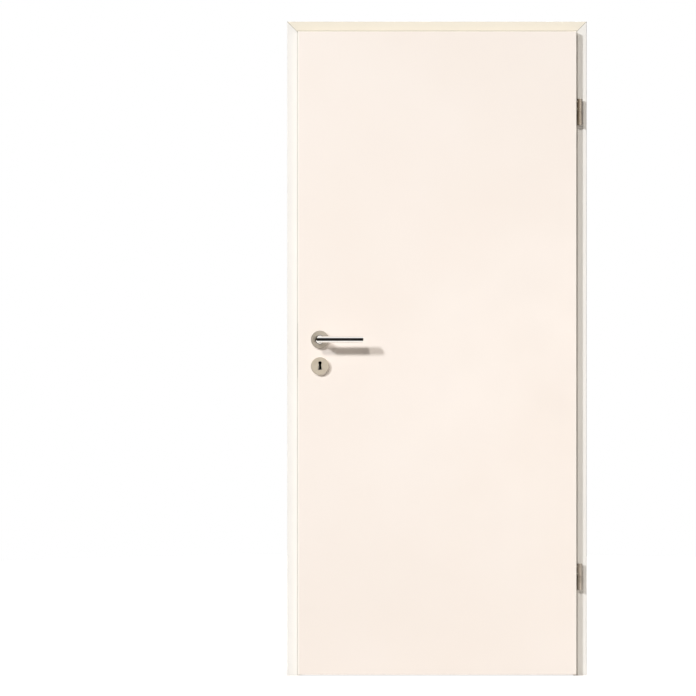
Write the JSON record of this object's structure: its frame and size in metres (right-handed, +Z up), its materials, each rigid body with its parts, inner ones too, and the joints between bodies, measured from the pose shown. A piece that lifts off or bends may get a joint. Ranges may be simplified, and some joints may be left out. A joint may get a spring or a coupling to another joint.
{
  "type": "interior door",
  "caption": "Rebated interior door leaf hung in a mitred wrap-around frame, with barrel hinges, a straight lever handle on a round rose and a round key rose.",
  "frame": {"origin": "on the wall-facing face of the hinge-side lining, at floor level and at the middle of the wall's thickness", "axes": "+Z up, +X from the doorway into the wall beside the hinges, -Y towards the side that the leaf opens to"},
  "size_m": [0.927, 0.254, 2.023],
  "materials": {
    "frame_laminate": "satin",
    "lining_laminate": "satin",
    "seal_rubber": "matte",
    "leaf_laminate": "satin",
    "leaf_edging": "satin",
    "framing_timber": "raw",
    "chipboard_core": "raw",
    "pin_steel": "bright",
    "hinge_nickel": "satin",
    "case_steel": "satin",
    "plate_steel": "satin",
    "bolt_steel": "satin",
    "rose_nickel": "satin",
    "lever_chrome": "polished",
    "spindle_steel": "bright"
  },
  "bodies": {
    "frame": {"architrave_head": "frame_laminate", "architrave_hinge_side": "frame_laminate", "architrave_lock_side": "frame_laminate", "lining_head": "lining_laminate", "lining_hinge_side": "lining_laminate", "lining_lock_side": "lining_laminate", "lower_hinge_frame_part": "hinge_nickel", "lower_hinge_pin": "pin_steel", "rear_architrave_head": "frame_laminate", "rear_architrave_hinge_side": "frame_laminate", "rear_architrave_lock_side": "frame_laminate", "seal_head": "seal_rubber", "seal_hinge_side": "seal_rubber", "seal_lock_side": "seal_rubber", "strike_plate": "plate_steel", "upper_hinge_frame_part": "hinge_nickel", "upper_hinge_pin": "pin_steel"},
    "leaf": {"dead_bolt": "bolt_steel", "front_key_rose": "rose_nickel", "front_lever_rose": "rose_nickel", "latch_bolt": "bolt_steel", "leaf_bottom_rail": "framing_timber", "leaf_core": "chipboard_core", "leaf_edge_band_hinge_side": "leaf_edging", "leaf_edge_band_lock_side": "leaf_edging", "leaf_edge_band_top": "leaf_edging", "leaf_front_skin": "leaf_laminate", "leaf_hinge_stile": "framing_timber", "leaf_lock_block": "framing_timber", "leaf_lock_stile": "framing_timber", "leaf_rear_skin": "leaf_laminate", "leaf_top_rail": "framing_timber", "lock_case": "case_steel", "lock_forend": "plate_steel", "lower_hinge_leaf_part": "hinge_nickel", "rear_key_rose": "rose_nickel", "rear_lever_rose": "rose_nickel", "upper_hinge_leaf_part": "hinge_nickel"},
    "handle": {"front_lever": "lever_chrome", "rear_lever": "lever_chrome", "spindle": "spindle_steel"}
  },
  "joints": [
    {"name": "door_swing", "type": "hinge", "parent": "frame", "child": "leaf", "pos_m": [0.0115, -0.099, 1], "axis": [0, 0, 1], "range_deg": [0, 170]},
    {"name": "lever_turn", "type": "hinge", "parent": "leaf", "child": "handle", "pos_m": [-0.791, -0.086, 1.039], "axis": [0, 1, 0], "range_deg": [0, 40], "stiffness_Nm_per_rad": 1.5, "springref_deg": -20.05}
  ]
}
